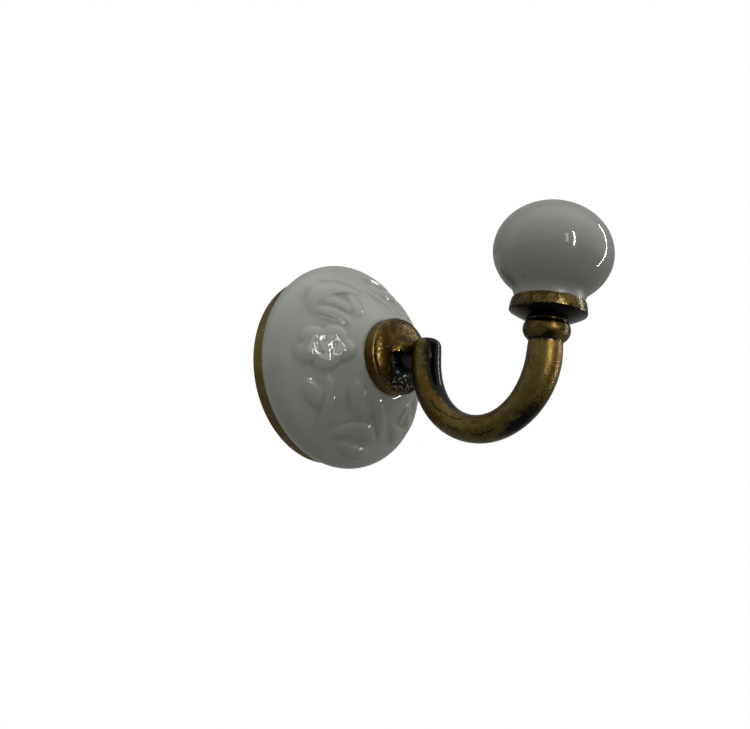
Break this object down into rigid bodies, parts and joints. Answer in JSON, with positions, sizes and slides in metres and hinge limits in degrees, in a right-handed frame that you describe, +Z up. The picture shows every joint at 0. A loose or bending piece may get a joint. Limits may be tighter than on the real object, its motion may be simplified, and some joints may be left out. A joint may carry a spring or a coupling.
{
  "type": "ceramic wall hook",
  "caption": "Wall hook: a domed ceramic rose with raised flowers on a brass back plate, and a J-shaped aged brass arm that ends in a round ceramic knob.",
  "frame": {"origin": "centre of the back plate's rear face, which lies against the wall", "axes": "+Y into the wall, so the hook stands out towards -Y; +Z up, towards the knob; +X to the side, with the arm in the plane x = 0"},
  "size_m": [0.05, 0.0846, 0.0535],
  "materials": {
    "plate_brass": "aged brass, finely brushed across the rim",
    "rose_glaze": "glossy white glaze with a faint beige tint in the hollows",
    "aged_brass": "aged cast brass with dark patina in the recesses, lacquered",
    "knob_glaze": "glossy white glaze",
    "stud_brass": "plain threaded brass"
  },
  "bodies": {
    "root": {"back_plate": "plate_brass", "rose": "rose_glaze", "hook_arm": "aged_brass", "knob": "knob_glaze", "fixing_stud": "stud_brass", "knob_stud": "stud_brass"}
  },
  "joints": []
}
